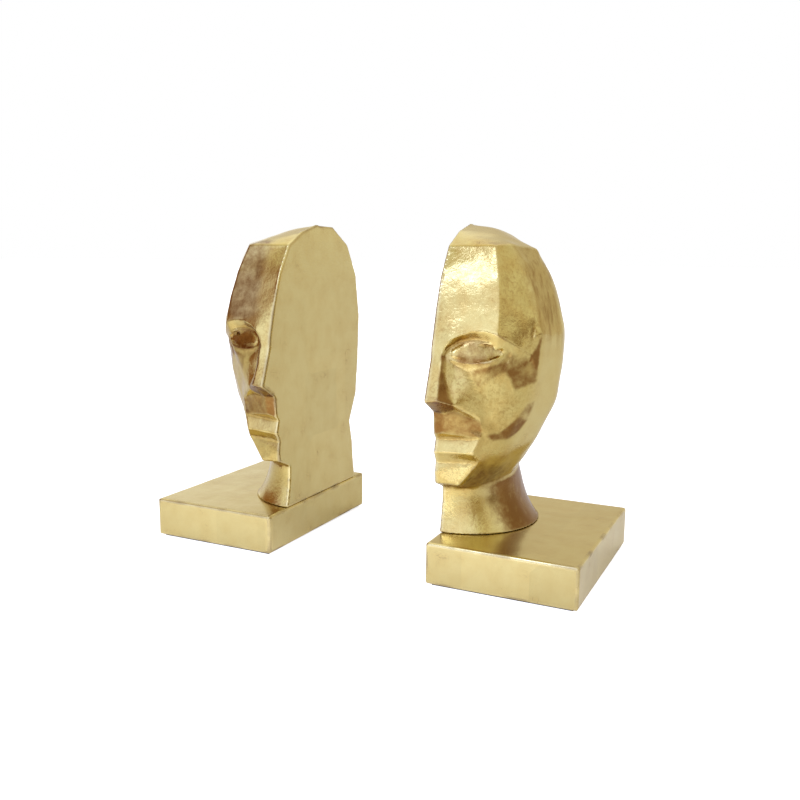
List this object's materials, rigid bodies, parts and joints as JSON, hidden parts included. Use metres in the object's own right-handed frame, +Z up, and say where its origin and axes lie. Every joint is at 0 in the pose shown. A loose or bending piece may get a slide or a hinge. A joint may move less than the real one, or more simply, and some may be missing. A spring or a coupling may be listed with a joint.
{
  "type": "book ends",
  "caption": "Book ends: a faceted gold-leafed head split in two, each half with its flat face to the books on its own weighted slab",
  "frame": {"origin": "on the shelf, midway between the two flat faces and midway between the nose tips and the backs of the slabs", "axes": "+X along the shelf towards the right-hand book end, +Y to the back, +Z up"},
  "size_m": [0.367, 0.167, 0.2665],
  "materials": {
    "gilded_wood": "gold-coloured leaf over wood, satin, rubbed edges",
    "gilded_resin": "gold-coloured leaf over cast resin, satin, rubbed edges",
    "felt": "pressed black felt",
    "ballast_steel": "cold-rolled, lightly oiled",
    "dowel_wood": "fluted beech, unfinished",
    "screw_steel": "zinc-plated",
    "bolt_steel": "black oxide",
    "washer_steel": "zinc-plated",
    "insert_brass": "turned brass"
  },
  "bodies": {
    "left_book_end": {"left_base_block": "gilded_wood", "left_half_head": "gilded_resin", "left_felt_pad": "felt", "left_ballast_plate": "ballast_steel", "left_locating_dowel": "dowel_wood", "left_ballast_screw_front": "screw_steel", "left_ballast_screw_back": "screw_steel", "left_head_bolt_front": "bolt_steel", "left_head_bolt_back": "bolt_steel", "left_bolt_washer_front": "washer_steel", "left_bolt_washer_back": "washer_steel", "left_threaded_insert_front": "insert_brass", "left_threaded_insert_back": "insert_brass"},
    "right_book_end": {"right_base_block": "gilded_wood", "right_half_head": "gilded_resin", "right_felt_pad": "felt", "right_ballast_plate": "ballast_steel", "right_locating_dowel": "dowel_wood", "right_ballast_screw_front": "screw_steel", "right_ballast_screw_back": "screw_steel", "right_head_bolt_front": "bolt_steel", "right_head_bolt_back": "bolt_steel", "right_bolt_washer_front": "washer_steel", "right_bolt_washer_back": "washer_steel", "right_threaded_insert_front": "insert_brass", "right_threaded_insert_back": "insert_brass"}
  },
  "joints": [
    {"name": "spread_along_shelf", "type": "slide", "parent": "left_book_end", "child": "right_book_end", "axis": [1, 0, 0], "range_m": [-0.1365, 0.163]}
  ]
}
